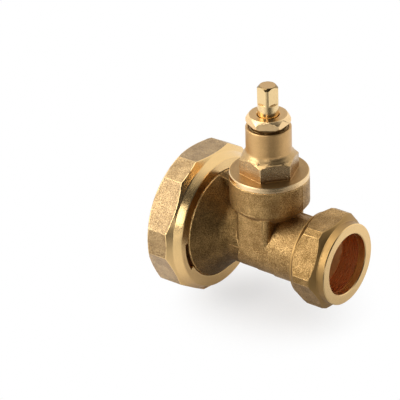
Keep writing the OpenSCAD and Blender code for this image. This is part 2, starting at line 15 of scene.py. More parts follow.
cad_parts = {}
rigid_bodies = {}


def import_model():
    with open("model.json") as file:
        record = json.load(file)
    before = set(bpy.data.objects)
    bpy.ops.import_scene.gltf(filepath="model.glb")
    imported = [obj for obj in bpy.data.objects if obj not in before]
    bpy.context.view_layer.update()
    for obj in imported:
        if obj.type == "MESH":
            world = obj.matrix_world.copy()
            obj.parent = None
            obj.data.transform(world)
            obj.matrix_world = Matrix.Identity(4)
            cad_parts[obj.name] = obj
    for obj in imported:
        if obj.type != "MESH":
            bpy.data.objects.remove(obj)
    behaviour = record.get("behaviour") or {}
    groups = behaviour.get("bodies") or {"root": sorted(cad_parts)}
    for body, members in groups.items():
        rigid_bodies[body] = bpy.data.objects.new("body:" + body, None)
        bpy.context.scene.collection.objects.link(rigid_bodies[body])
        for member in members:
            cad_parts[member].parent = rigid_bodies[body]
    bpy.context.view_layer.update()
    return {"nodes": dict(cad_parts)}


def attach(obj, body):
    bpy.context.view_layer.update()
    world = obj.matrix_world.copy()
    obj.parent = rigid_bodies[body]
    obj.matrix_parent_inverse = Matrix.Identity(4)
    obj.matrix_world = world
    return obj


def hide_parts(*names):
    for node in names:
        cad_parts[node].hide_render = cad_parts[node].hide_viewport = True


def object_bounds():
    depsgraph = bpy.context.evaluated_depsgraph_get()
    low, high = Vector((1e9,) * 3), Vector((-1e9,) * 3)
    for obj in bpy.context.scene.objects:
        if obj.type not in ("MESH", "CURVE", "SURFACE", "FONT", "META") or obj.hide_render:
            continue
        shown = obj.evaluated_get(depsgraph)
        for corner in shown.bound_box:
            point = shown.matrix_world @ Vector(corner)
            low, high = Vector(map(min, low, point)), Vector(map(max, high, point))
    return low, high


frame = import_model()
MM = 0.001

# %% [markdown]
# ## The camera
# A long lens stands well back, so that the valve shows almost without perspective. Its place is given
# by two angles, the way one walks round an object: the turn about the upright axis and the height
# above the horizon. A small roll and two small offsets then set the frame.

# %% Camera
turn, height, roll = (math.radians(angle) for angle in (37.80, 29.20, -1.95))
distance_mm, aside_mm, above_mm = 1058.2, -25.07, 13.54
lens_mm, film_mm = 268.7, 36
back = Vector((math.sin(turn) * math.cos(height), -math.cos(turn) * math.cos(height),
               math.sin(height)))
level = Vector((math.cos(turn), math.sin(turn), 0))
upright = back.cross(level)
right = level * math.cos(roll) + upright * math.sin(roll)
up = upright * math.cos(roll) - level * math.sin(roll)
camera = bpy.data.objects.new("camera", bpy.data.cameras.new("camera"))
camera.data.lens = lens_mm
camera.data.sensor_width = film_mm
camera.data.clip_start, camera.data.clip_end = 0.05, 20
camera.matrix_world = Matrix((right, up, back)).transposed().to_4x4()
camera.location = (distance_mm * back + aside_mm * right + above_mm * up) * MM
bpy.context.scene.collection.objects.link(camera)
bpy.context.scene.camera = camera
bpy.context.scene.view_settings.view_transform = "Standard"
print("camera at", [round(c / MM) for c in camera.location], "mm")

# %% [markdown]
# ## Small helpers for nodes
# Every finish below is a node material. Writing out each node and link is long, so one helper adds
# a node, and sets its values or links its inputs in the same call.

# %% Node helpers
def add(tree, kind, inputs=None, **settings):
    """Adds a node, sets its properties, and sets or links its inputs by name or number."""
    node = tree.nodes.new(kind)
    for key, value in settings.items():
        setattr(node, key, value)
    for key, value in (inputs or {}).items():
        if isinstance(value, bpy.types.NodeSocket):
            tree.links.new(value, node.inputs[key])
        else:
            node.inputs[key].default_value = value
    return node


def maths(tree, operation, *values):
    """Adds a Math node and gives its output."""
    return add(tree, "ShaderNodeMath", dict(enumerate(values)), operation=operation).outputs[0]


def ramp(tree, factor, *stops):
    """Adds a colour ramp with (position, grey or colour) stops and gives its colour."""
    node = add(tree, "ShaderNodeValToRGB", {"Fac": factor})
    while len(node.color_ramp.elements) < len(stops):
        node.color_ramp.elements.new(0.5)
    for element, (position, colour) in zip(node.color_ramp.elements, stops):
        element.position = position
        element.color = (*colour, 1) if isinstance(colour, tuple) else (colour,) * 3 + (1,)
    return node.outputs["Color"]


def new_group(name, inputs, outputs):
    """Starts a shader node group with named sockets, given as {name: (type, default)}."""
    tree = bpy.data.node_groups.new(name, "ShaderNodeTree")
    for label, (kind, default) in inputs.items():
        socket = tree.interface.new_socket(label, in_out="INPUT", socket_type="NodeSocket" + kind)
        if default is not None:
            socket.default_value = default
    for label, kind in outputs.items():
        tree.interface.new_socket(label, in_out="OUTPUT", socket_type="NodeSocket" + kind)
    return tree, tree.nodes.new("NodeGroupInput").outputs, tree.nodes.new("NodeGroupOutput").inputs


print("helpers ready")

# %% [markdown]
# ## Forged grain
# A forging comes out of the die red hot and is then blasted with shot, which leaves a skin of small
# dimples with darker oxide in them, and broad faint patches where it cooled unevenly. A single noise
# looks like cloud, so the group adds a cell pattern for the dimples to two sizes of noise.

# %% Group: forged grain
finer = 1.7
patches_per_metre = 230.0
dimple_share, fine_share = 0.6, 0.7
tree, given, out = new_group("forged_grain",
    {"Place": ("Vector", None), "Dimple size mm": ("Float", 0.55)},
    {"Height": "Float", "Dark": "Float", "Patch": "Float"})
per_metre = maths(tree, "DIVIDE", 1 / MM, given["Dimple size mm"])
cells = add(tree, "ShaderNodeTexVoronoi", {"Vector": given["Place"], "Scale": per_metre},
            feature="SMOOTH_F1")
cells.inputs["Smoothness"].default_value = 0.6
fine = add(tree, "ShaderNodeTexNoise", {"Vector": given["Place"],
           "Scale": maths(tree, "MULTIPLY", per_metre, finer), "Detail": 3.0, "Roughness": 0.65})
broad = add(tree, "ShaderNodeTexNoise", {"Vector": given["Place"], "Scale": patches_per_metre,
            "Detail": 4.0, "Roughness": 0.6})
dimples = maths(tree, "MULTIPLY", cells.outputs["Distance"], dimple_share)
tree.links.new(maths(tree, "ADD", dimples,
                     maths(tree, "MULTIPLY", fine.outputs["Fac"], fine_share)), out["Height"])
tree.links.new(ramp(tree, fine.outputs["Fac"], (0.36, 1.0), (0.60, 0.0)), out["Dark"])
tree.links.new(ramp(tree, broad.outputs["Fac"], (0.35, 0.0), (0.65, 1.0)), out["Patch"])
forged_grain = tree
print("group", tree.name)

# %% [markdown]
# ## Turning lines
# A lathe tool leaves a very fine groove that runs round the work. On a cylinder the lines are stacked
# along the axis, and on a face they are stacked by radius, so the pattern reads the sum of the two.
# The axis is an input, because the nuts are turned about X, and the bonnet and spindle about Z.

# %% Group: turning lines
radius_share, band_share = 0.83, 0.17
tree, given, out = new_group("turning_lines",
    {"Place": ("Vector", None), "Axis": ("Vector", (1.0, 0.0, 0.0)), "Line mm": ("Float", 0.18)},
    {"Height": "Float", "Tone": "Float"})
along = add(tree, "ShaderNodeVectorMath", {0: given["Place"], 1: given["Axis"]},
            operation="DOT_PRODUCT").outputs["Value"]
across = add(tree, "ShaderNodeVectorMath", {0: given["Place"], 1: given["Axis"]},
             operation="CROSS_PRODUCT").outputs["Vector"]
radius = add(tree, "ShaderNodeVectorMath", {0: across}, operation="LENGTH").outputs["Value"]
stack = maths(tree, "ADD", along, maths(tree, "MULTIPLY", radius, radius_share))
lines = maths(tree, "MULTIPLY", stack, maths(tree, "DIVIDE", 1 / MM, given["Line mm"]))
grooves = add(tree, "ShaderNodeTexNoise", {"W": lines, "Scale": 1.0, "Detail": 2.0,
              "Roughness": 0.6}, noise_dimensions="1D")
bands = add(tree, "ShaderNodeTexNoise", {"W": maths(tree, "MULTIPLY", lines, band_share),
            "Scale": 1.0, "Detail": 1.0}, noise_dimensions="1D")
tree.links.new(grooves.outputs["Fac"], out["Height"])
tree.links.new(ramp(tree, bands.outputs["Fac"], (0.35, 0.0), (0.65, 1.0)), out["Tone"])
turning_lines = tree
print("group", tree.name)

# %% [markdown]
# ## Rubbed edges
# Corners are the first to be rubbed bright in handling. When a corner is softened below, its new
# faces are marked with an attribute called rubbed. This group breaks that mark up with noise, so
# that the bright edge comes and goes instead of running like a painted line.

# %% Group: rubbed edges
rubs_per_metre = 420.0
tree, given, out = new_group("rubbed_edges", {"Place": ("Vector", None)}, {"Bright": "Float"})
mark = add(tree, "ShaderNodeAttribute", attribute_name="rubbed").outputs["Fac"]
patchy = add(tree, "ShaderNodeTexNoise", {"Vector": given["Place"], "Scale": rubs_per_metre,
             "Detail": 2.0})
tree.links.new(maths(tree, "MULTIPLY", mark,
               ramp(tree, patchy.outputs["Fac"], (0.32, 0.25), (0.55, 1.0))), out["Bright"])
rubbed_edges = tree
print("group", tree.name)

# %% [markdown]
# ## The brass finishes
# Brass is a metal, so its colour is the colour of its reflections. A forged skin scatters them, and
# its dimples reflect each other, which deepens the colour towards brown. A turned face is smoother
# and lighter. One function builds every brass from these words: the light and the deep colour, the
# roughness, how deep the dimples (grain) or the turning lines (lines) are, and the axis of turning.
# Two words serve special cases. A film is the thin clear oil that some nuts are kept in, and a
# metal below 1 lets a deep hole keep its own warm colour where it would otherwise mirror only dark.

# %% Brass
def brass(name, light, deep, rough, grain=0.0, dimple=0.55, lines=0.0, axis=(0, 0, 1),
          spacing=0.18, metal=1.0, film=0.0):
    """A brass from forged (grain) to turned (lines)."""
    deep_by_grain, deep_by_lines = min(1.0, 0.75 * grain), min(1.0, 0.25 * lines)
    deep_by_patch = 0.08 + 0.30 * grain
    rougher_where_deep, smoother_where_rubbed = 0.12, 0.3 * rough
    relief_mm = 0.09 + 0.07 * grain
    material = bpy.data.materials.new(name)
    material.use_nodes = True
    tree = material.node_tree
    shader = tree.nodes["Principled BSDF"]
    spot = add(tree, "ShaderNodeTexCoord").outputs["Object"]
    forged = add(tree, "ShaderNodeGroup", {}, node_tree=forged_grain)
    tree.links.new(spot, forged.inputs["Place"])
    forged.inputs["Dimple size mm"].default_value = dimple
    turned = add(tree, "ShaderNodeGroup", {}, node_tree=turning_lines)
    tree.links.new(spot, turned.inputs["Place"])
    turned.inputs["Axis"].default_value = axis
    turned.inputs["Line mm"].default_value = spacing
    rubbed = add(tree, "ShaderNodeGroup", {}, node_tree=rubbed_edges)
    tree.links.new(spot, rubbed.inputs["Place"])
    grain_dark = maths(tree, "MULTIPLY", forged.outputs["Dark"], deep_by_grain)
    patch_dark = maths(tree, "MULTIPLY", forged.outputs["Patch"], deep_by_patch)
    line_dark = maths(tree, "MULTIPLY", turned.outputs["Tone"], deep_by_lines)
    dark = maths(tree, "MINIMUM", maths(tree, "ADD", maths(tree, "ADD", grain_dark, patch_dark),
                 line_dark), 1.0)
    dark = maths(tree, "MULTIPLY", dark, maths(tree, "SUBTRACT", 1.0, rubbed.outputs["Bright"]))
    colour = add(tree, "ShaderNodeMix", {"Factor": dark, 6: (*light, 1), 7: (*deep, 1)},
                 data_type="RGBA").outputs[2]
    tree.links.new(colour, shader.inputs["Base Color"])
    shader.inputs["Metallic"].default_value = metal
    shader.inputs["Coat Weight"].default_value = film
    shader.inputs["Coat Roughness"].default_value = 0.25
    roughness = maths(tree, "ADD", rough, maths(tree, "MULTIPLY", dark, rougher_where_deep))
    roughness = maths(tree, "SUBTRACT", roughness,
                      maths(tree, "MULTIPLY", rubbed.outputs["Bright"], smoother_where_rubbed))
    tree.links.new(roughness, shader.inputs["Roughness"])
    relief = maths(tree, "ADD", maths(tree, "MULTIPLY", forged.outputs["Height"], grain),
                   maths(tree, "MULTIPLY", turned.outputs["Height"], lines))
    bump = add(tree, "ShaderNodeBump", {"Height": relief, "Strength": 0.8,
               "Distance": relief_mm * MM})
    tree.links.new(bump.outputs["Normal"], shader.inputs["Normal"])
    return material


X, Z = (1.0, 0.0, 0.0), (0.0, 0.0, 1.0)
forged_brass = brass("forged_brass", (0.68, 0.435, 0.175), (0.24, 0.133, 0.044), 0.34, grain=1.3)
# Painted shade: the forged skin at under half its brightness, for the hollow behind the union nut.
bell_painted_shade = brass("bell_painted_shade", (0.31, 0.185, 0.068), (0.09, 0.052, 0.017), 0.36, grain=1.3)
bore_brass = brass("bore_brass", (1.0, 0.71, 0.42), (0.96, 0.62, 0.35), 0.22, lines=0.02, axis=X,
                   metal=0.5)
nut_forging = brass("nut_forging", (0.59, 0.395, 0.18), (0.25, 0.15, 0.058), 0.34, grain=1.2,
                    dimple=0.6, film=0.35)
small_nut_forging = brass("small_nut_forging", (0.62, 0.385, 0.15), (0.23, 0.13, 0.040), 0.34,
                          grain=1.4, dimple=0.5)
nut_turned = brass("nut_turned", (0.90, 0.61, 0.27), (0.66, 0.41, 0.16), 0.24, lines=0.3, axis=X,
                   film=0.2)
small_nut_turned = brass("small_nut_turned", (0.42, 0.255, 0.092), (0.28, 0.155, 0.05), 0.40,
                         lines=0.5, axis=X)
bonnet_turned = brass("bonnet_turned", (0.70, 0.44, 0.19), (0.42, 0.24, 0.085), 0.33, grain=0.45,
                      lines=0.2, axis=Z)
bonnet_forging = brass("bonnet_forging", (0.68, 0.47, 0.245), (0.28, 0.175, 0.08), 0.18, grain=0.8)
bonnet_rim = brass("bonnet_rim", (0.92, 0.66, 0.36), (0.70, 0.46, 0.20), 0.20, lines=0.4, axis=Z)
bonnet_cone = brass("bonnet_cone", (0.66, 0.44, 0.20), (0.34, 0.20, 0.075), 0.34, grain=0.4,
                    lines=0.1, axis=Z)
bonnet_face = brass("bonnet_face", (0.43, 0.26, 0.100), (0.26, 0.15, 0.052), 0.34, grain=0.5,
                    lines=0.4, axis=Z)
spindle_brass = brass("spindle_brass", (0.90, 0.66, 0.34), (0.66, 0.45, 0.19), 0.16, lines=0.1,
                      axis=Z)
faced_brass = brass("faced_brass", (0.58, 0.37, 0.16), (0.36, 0.21, 0.08), 0.30, lines=0.6, axis=Z)
gland_brass = brass("gland_brass", (1.00, 0.71, 0.37), (0.76, 0.49, 0.21), 0.33, lines=0.5, axis=Z)
# Painted reflection: the square's cut corners are painted dark, for the dark reflection they show.
cut_corner_painted_dark = brass("cut_corner_painted_dark", (0.33, 0.22, 0.095), (0.20, 0.125, 0.047), 0.18, lines=0.3, axis=Z)
# Painted shade: a dark brass for the gland nut's shank and thread, for the shade under the nut.
gland_thread_painted_shade = brass("gland_thread_painted_shade", (0.26, 0.165, 0.066), (0.14, 0.084, 0.03), 0.28, lines=0.4, axis=Z)
plain_brass = brass("plain_brass", (0.82, 0.61, 0.32), (0.66, 0.46, 0.21), 0.30, lines=0.6, axis=Z)
print("brasses:", len([m for m in bpy.data.materials if m.use_nodes]))

# %% [markdown]
# ## The other finishes
# The olive is copper, drawn smooth. The union washer is red vulcanised fibre, which is pressed paper:
# matt, with short fibres in it. The stem packing is dark graphite yarn, the bonnet gasket is grey
# fibre, and the two thrust washers are a white bearing plastic. One function makes these four, and
# the copper is made as a brass is, with a redder colour.

# %% Copper, fibre and plastics
def fibrous(name, light, deep, rough, size_mm, relief_mm):
    """A matt stuff with fine streaky fibres in two tones."""
    speck_size, fibre_share, speck_share, rougher_where_deep = 5, 0.7, 0.3, 0.12
    material = bpy.data.materials.new(name)
    material.use_nodes = True
    tree = material.node_tree
    shader = tree.nodes["Principled BSDF"]
    spot = add(tree, "ShaderNodeTexCoord").outputs["Object"]
    fibres = add(tree, "ShaderNodeTexNoise", {"Vector": spot, "Scale": 1 / (size_mm * MM),
                 "Detail": 4.0, "Roughness": 0.7, "Distortion": 0.8})
    specks = add(tree, "ShaderNodeTexNoise", {"Vector": spot,
                 "Scale": 1 / speck_size / (size_mm * MM), "Detail": 2.0})
    mixed = maths(tree, "ADD", maths(tree, "MULTIPLY", fibres.outputs["Fac"], fibre_share),
                  maths(tree, "MULTIPLY", specks.outputs["Fac"], speck_share))
    share = ramp(tree, mixed, (0.36, 0.0), (0.62, 1.0))
    tree.links.new(add(tree, "ShaderNodeMix", {"Factor": share, 6: (*light, 1), 7: (*deep, 1)},
                       data_type="RGBA").outputs[2], shader.inputs["Base Color"])
    tree.links.new(maths(tree, "ADD", rough, maths(tree, "MULTIPLY", share, rougher_where_deep)),
                   shader.inputs["Roughness"])
    bump = add(tree, "ShaderNodeBump", {"Height": fibres.outputs["Fac"], "Strength": 0.7,
               "Distance": relief_mm * MM})
    tree.links.new(bump.outputs["Normal"], shader.inputs["Normal"])
    return material


red_fibre = fibrous("red_fibre", (0.62, 0.045, 0.035), (0.42, 0.02, 0.02), 0.42, 0.35, 0.03)
grey_fibre = fibrous("grey_fibre", (0.10, 0.10, 0.11), (0.05, 0.05, 0.055), 0.6, 0.3, 0.03)
graphite_yarn = fibrous("graphite_yarn", (0.07, 0.07, 0.075), (0.03, 0.03, 0.033), 0.45, 0.25, 0.05)
bearing_plastic = fibrous("bearing_plastic", (0.84, 0.84, 0.81), (0.76, 0.76, 0.72), 0.35, 0.8, 0.01)
copper = brass("olive_copper", (0.80, 0.40, 0.23), (0.52, 0.22, 0.10), 0.26, lines=0.5, axis=X)
print("materials:", len(bpy.data.materials))

# %% [markdown]
# ## Copies with soft corners
# The solids have knife-sharp corners, and no real metal part does: a small round on each corner
# catches a thread of light. The copy of a node is first welded, because its triangles are loose, and
# flat groups of triangles are joined into single faces. Then its sharp edges are bevelled. A bevel of
# the real radius is used, not a shading trick. A face that is too narrow for the round on its edge
# would fold over, so such edges stay sharp.

# %% Soft copies
WELD = 0.001 * MM


def narrow(edge, room_mm):
    """True where a face beside the edge is too narrow to be rounded."""
    length = edge.calc_length()
    return any(face.calc_area() / length < room_mm * MM for face in edge.link_faces)


def soft_copy(node, radius_mm, segments=2, keep=None, rounder=None):
    """A welded, bevelled copy of a CAD node. Keep picks edges to leave as they are, and rounder
    is a choice of edges with a radius in mm of their own."""
    flat, sharp = math.radians(0.6), math.radians(20)
    room = 2.2
    mesh = bmesh.new()
    mesh.from_mesh(frame["nodes"][node].data)
    bmesh.ops.remove_doubles(mesh, verts=mesh.verts, dist=WELD)
    bmesh.ops.dissolve_limit(mesh, angle_limit=flat, verts=mesh.verts, edges=mesh.edges,
                             use_dissolve_boundaries=False)
    rubbed = mesh.faces.layers.float.new("rubbed")
    passes = [(radius_mm, segments, keep or (lambda edge: False))]
    if rounder:
        passes.insert(0, (rounder[1], 4, lambda edge: not rounder[0](edge)))
    for radius, steps, leave in passes:
        corners = [e for e in mesh.edges if e.calc_face_angle(0) > sharp
                   and not narrow(e, room * radius) and not leave(e)]
        made = bmesh.ops.bevel(mesh, geom=corners, offset=radius * MM, offset_type="OFFSET",
                               affect="EDGES", segments=steps, profile=0.5, clamp_overlap=False,
                               material=-1)
        for face in made["faces"]:
            face[rubbed] = 1.0
    bmesh.ops.remove_doubles(mesh, verts=mesh.verts, dist=WELD)
    return mesh


print("soft copies ready")

# %% [markdown]
# ## From a mesh to a piece
# A finished mesh becomes an object that stands for its node and rides on the node's body. The solids
# carry stored normals, which no longer fit the rounded corners, so they are dropped. Corners over
# 35 degrees stay crisp, and a modifier evens out the shading of the flats beside a round.

# %% Pieces
def stand_for(mesh, name, node, body, materials, choose=lambda face: 0):
    """Turns the bmesh into a piece with smooth shading that stands for a node."""
    for face in mesh.faces:
        face.smooth = True
        face.material_index = choose(face)
    data = bpy.data.meshes.new(name)
    mesh.to_mesh(data)
    mesh.free()
    if data.has_custom_normals:
        data.attributes.remove(data.attributes["custom_normal"])
    data.set_sharp_from_angle(angle=math.radians(35))
    for material in materials:
        data.materials.append(material)
    piece = bpy.data.objects.new(name, data)
    bpy.context.scene.collection.objects.link(piece)
    even = piece.modifiers.new("even shading", "WEIGHTED_NORMAL")
    even.keep_sharp = True
    if node:
        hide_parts(node)
    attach(piece, body)
    print(name, len(data.polygons), "faces")
    return piece


print("pieces ready")

# %% [markdown]
# ## The body
# The body is one forging with its bores and faces cut afterwards. Its corners are rounder than those
# of the turned pieces. The bell's inside, the flange face and the thread get a turned finish, the
# tube's bore a warmer one, and the rest keeps the forged skin. In the hollow behind the union nut
# that skin is painted darker, as painted shade. All places are in mm from the point where the
# waterway's axis crosses the spindle's.

# %% Finishes of the body
bore_radius, bore_start = 11.3, 4.4
bell_radius, bell_end = 17.2, -5
thread_start, flange_face = 20.0, -27.9
collar_radius, collar_foot = 14.8, 12
hollow_start, hollow_end, hollow_radius = -21.0, -7.3, 11.2


def ring_radius(face):
    """Distance of the middle of a face from the waterway's axis, in mm."""
    middle = face.calc_center_median() / MM
    return math.hypot(middle.y, middle.z)


def body_finish(face):
    """0 for forged skin, 1 for cut faces, 2 for the tube's bore, 3 for the skin behind the
    union nut, which is painted darker as painted shade."""
    middle = face.calc_center_median() / MM
    r = ring_radius(face)
    inward = Vector((0, middle.y, middle.z)).dot(face.normal) < 0
    if middle.x < bell_end and r < bell_radius and inward:
        return 1
    if r < bore_radius and abs(middle.x) > bore_start and middle.z < collar_foot:
        return 2
    if middle.x > thread_start or middle.x < flange_face:
        return 1
    collar = middle.z > collar_foot and math.hypot(middle.x, middle.y) < collar_radius
    # Painted shade: faces in the hollow behind the union nut get the darker skin.
    hollow = hollow_start < middle.x < hollow_end and r > hollow_radius and not collar
    return 3 if hollow else 0


print("finishes of the body: 4")

# %% [markdown]
# Two sets of edges on the body stay crisp: the shallow steps where a neck leaves the chest, and the
# edges round the room that the gate moves in. A round there would be wider than the step itself, or
# would close the waterway's mouth. The edge where the tube's neck starts gets a small round of its
# own. Last, a low bead is raised along the middle plane, where the two dies met.

# %% Body
def left_crisp(edge):
    """The two shallow steps where a neck leaves the chest, and the edges round the gate's room."""
    tube_step, union_step, step_radius = 0, -7.2, 11.5
    room_half_length, room_radius = 6.5, 11.3
    ends = [vert.co / MM for vert in edge.verts]
    middle = (ends[0] + ends[1]) / 2
    off = min(abs(middle.x - tube_step), abs(middle.x - union_step))
    step = off < 0.05 and middle.yz.length > step_radius
    return step or all(abs(end.x) < room_half_length and end.yz.length < room_radius
                       for end in ends)


def shoulder(edge):
    """The crisp edge where the tube's neck starts on the chest."""
    return all(7.4 < vert.co.x / MM < 7.6 and vert.co.yz.length > 11.5 * MM for vert in edge.verts)


def parting_line(mesh, half_width_mm, height_mm):
    """Raises a bead on the forged skin where the two dies met, in the plane through the middle."""
    line_start, line_end, hub_radius, sideways = -20.5, 19.5, 11, 0.3
    for offset in (-half_width_mm, 0, half_width_mm):
        bmesh.ops.bisect_plane(mesh, geom=mesh.verts[:] + mesh.edges[:] + mesh.faces[:],
                               dist=0.5 * WELD, plane_co=(0, offset * MM, 0), plane_no=(0, 1, 0))
    mesh.normal_update()
    raised = 0
    for vert in mesh.verts:
        spot = vert.co / MM
        outward = spot.dot(vert.normal) > 0 and abs(vert.normal.y) < sideways
        skin = all(body_finish(face) in (0, 3) for face in vert.link_faces)
        along = line_start < spot.x < line_end and spot.length > hub_radius
        if abs(spot.y) < 0.01 and outward and skin and along:
            vert.co += vert.normal * height_mm * MM
            raised += 1
    print("parting line:", raised, "points")
    return mesh


soft_body = soft_copy("valve_body", 0.35, segments=3, keep=left_crisp, rounder=(shoulder, 0.18))
stand_for(parting_line(soft_body, half_width_mm=0.35, height_mm=0.13), "body_forging", "valve_body",
          "valve", [forged_brass, nut_turned, bore_brass, bell_painted_shade], body_finish)

# %% [markdown]
# ## The bonnet
# The bonnet is stamped, then turned. Its stuffing box shows the lathe's lines, its flange has a
# bright rim round a duller face, and its six flats and the cone above them keep a rougher skin.

# %% Bonnet
def bonnet_finish(face):
    """0 for turned, 1 for the flats, 2 for the rim, 3 for the flange's face, 4 for the cones."""
    flange_top, flange_rim_radius, hexagon_radius, hexagon_top = 27.7, 13.2, 8.6, 34
    cone_foot, cone_top = 32, 38
    middle = face.calc_center_median() / MM
    wide = math.hypot(middle.x, middle.y)
    upward = face.normal.z
    if abs(upward) < 0.15 and wide > hexagon_radius and flange_top < middle.z < hexagon_top:
        return 1
    if wide > flange_rim_radius and middle.z < flange_top + 0.05 and upward < 0.9:
        return 2
    if upward > 0.9 and flange_top - 0.3 < middle.z < flange_top + 0.2:
        return 3
    return 4 if 0.15 < upward < 0.95 and cone_foot < middle.z < cone_top else 0


stand_for(soft_copy("bonnet", 0.2), "bonnet_turned", "bonnet", "valve",
          [bonnet_turned, bonnet_forging, bonnet_rim, bonnet_face, bonnet_cone], bonnet_finish)

# %% [markdown]
# ## The two nuts
# Both nuts are forged hexagons whose corners are cut flat, then turned in front, behind and inside.
# So a face is forged skin where it is parallel to the axis and far out, and turned elsewhere. The
# small nut's front ring and its hole are brighter than its back, and the ring's edge is well rounded.

# %% Nuts
def nut_finish(beyond, faced=99, hole=0):
    """0 for turned, 1 for the flats beyond a radius, 2 for the face beyond an x and for the hole
    within a radius, all in mm."""
    def finish(face):
        if abs(face.normal.x) < 0.04 and ring_radius(face) > beyond:
            return 1
        front = face.normal.x > 0.5 and face.calc_center_median().x > faced * MM
        inner = abs(face.normal.x) < 0.5 and ring_radius(face) < hole
        return 2 if front or inner else 0
    return finish


def ring_edge(edge):
    """The outer edge of the small nut's ring."""
    ends = [vert.co / MM for vert in edge.verts]
    return all(end.x > 32.6 and math.hypot(end.y, end.z) > 14 for end in ends)


stand_for(soft_copy("union_nut", 0.22), "union_nut_forging", "union_nut", "union_nut",
          [nut_turned, nut_forging], nut_finish(beyond=25.65))
small_nut = soft_copy("compression_nut", 0.2, rounder=(ring_edge, 0.45))
stand_for(small_nut, "compression_nut_forging", "compression_nut", "compression_nut",
          [small_nut_turned, small_nut_forging, nut_turned],
          nut_finish(beyond=15.55, faced=32.2, hole=11.6))

# %% [markdown]
# ## Spindle and gland nut
# Both are machined from drawn bar, so they are the brightest pieces. The spindle's square is milled,
# and its corners are crisp; its cut corners are painted dark, as a painted reflection. The gland
# nut's thread below the nut is painted dark, as painted shade under the nut.

# %% Spindle and gland nut
def faced_top(face):
    """0 for turned, 1 for faces cut square to the spindle, 2 for the cut corners of the square,
    painted dark as a painted reflection.
    """
    corners_start = 59.4
    upward = face.normal.z
    cut = face.calc_center_median().z > corners_start * MM and 0.25 < upward < 0.95
    return 1 if upward > 0.95 else 2 if cut else 0


def gland_finish(face):
    """0 for the nut, 1 for its top and 2 for the thread below it, painted dark as painted shade under
    the nut.
    """
    nut_foot = 46.6
    return 2 if face.calc_center_median().z < nut_foot * MM else faced_top(face)


stand_for(soft_copy("spindle", 0.12), "spindle_turned", "spindle", "spindle",
          [spindle_brass, faced_brass, cut_corner_painted_dark], faced_top)
stand_for(soft_copy("gland_nut", 0.12), "gland_nut_turned", "gland_nut", "gland_nut",
          [gland_brass, faced_brass, gland_thread_painted_shade], gland_finish)

# %% [markdown]
# ## The gate
# Looking into the waterway, one sees the wedge that shuts it. It is a small forging with cut faces.

# %% Gate
stand_for(soft_copy("wedge_gate", 0.15), "gate_forging", "wedge_gate", "gate",
          [forged_brass])

# %% [markdown]
# ## Two threads that show
# The solids carry plain cylinders where threads belong. Two threads can be seen, one inside the union
# nut and one on the shank of the gland nut. Each is a ridge that climbs round the axis: a triangle
# is swept along a helix, with one side sunk in the wall.

# %% Thread ridges
def ridge(name, axis, start, turns, pitch, root, crest, body, material):
    """A helical ridge from the root radius to the crest radius, in mm, about X or Z."""
    width, per_turn = 0.86 * pitch, 72
    sideways = Vector((0, 0, 1)) if axis.x else Vector((1, 0, 0))
    corners = [axis * start + sideways * root, axis * (start + width / 2) + sideways * crest,
               axis * (start + width) + sideways * root]
    mesh = bmesh.new()
    bmesh.ops.create_circle(mesh, segments=3, radius=MM)
    for vert, corner in zip(mesh.verts, corners):
        vert.co = corner * MM
    bmesh.ops.spin(mesh, geom=mesh.verts[:] + mesh.edges[:], cent=(0, 0, 0), axis=axis,
                   dvec=axis * pitch * MM / per_turn, angle=2 * math.pi * turns,
                   steps=round(per_turn * turns))
    bmesh.ops.holes_fill(mesh, edges=mesh.edges[:], sides=3)
    bmesh.ops.recalc_face_normals(mesh, faces=mesh.faces[:])
    return stand_for(mesh, name, None, body, [material])


ridge("union_thread_ridge", Vector(X), start=-34.6, turns=1.65, pitch=2.309, root=24.05,
      crest=22.75, body="union_nut", material=nut_turned)
ridge("gland_thread_ridge", Vector(Z), start=45.15, turns=1.0, pitch=0.8, root=6.20,
      crest=6.80, body="gland_nut", material=gland_thread_painted_shade)

# %% [markdown]
# ## The pieces that keep their solid
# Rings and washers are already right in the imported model, so they only need their finish.

# %% Finishes for the solids
finishes = {"bonnet_gasket": grey_fibre, "spindle_retaining_nut": plain_brass,
            "lower_thrust_washer": bearing_plastic, "upper_thrust_washer": bearing_plastic,
            "packing_base_washer": plain_brass,
            "packing_ring_lower": graphite_yarn, "packing_ring_middle": graphite_yarn,
            "packing_ring_upper": graphite_yarn, "gland_follower": plain_brass,
            "union_washer": red_fibre, "olive": copper}
for node, material in finishes.items():
    for slot in frame["nodes"][node].material_slots:
        slot.material = material
print("finished solids:", len(finishes))

# %% [markdown]
# ## The table
# The valve stands on a wide glossy white table. The camera sees the table as plain white away from
# the valve. Close to it, part of the true, shaded table shows through, so that the soft shadow
# stays. Metal mirrors the table too, a little dimmer near the valve. This dimming is painted shade:
# a fixed fade by distance from the valve that stands for its shadow in the reflections.

# %% Table
def fade(tree, value, start_mm, end_mm, low, high):
    """A smooth change from low to high between two distances in mm."""
    return add(tree, "ShaderNodeMapRange", {"Value": value, "From Min": start_mm * MM,
               "From Max": end_mm * MM, "To Min": low, "To Max": high},
               interpolation_type="SMOOTHSTEP").outputs["Result"]


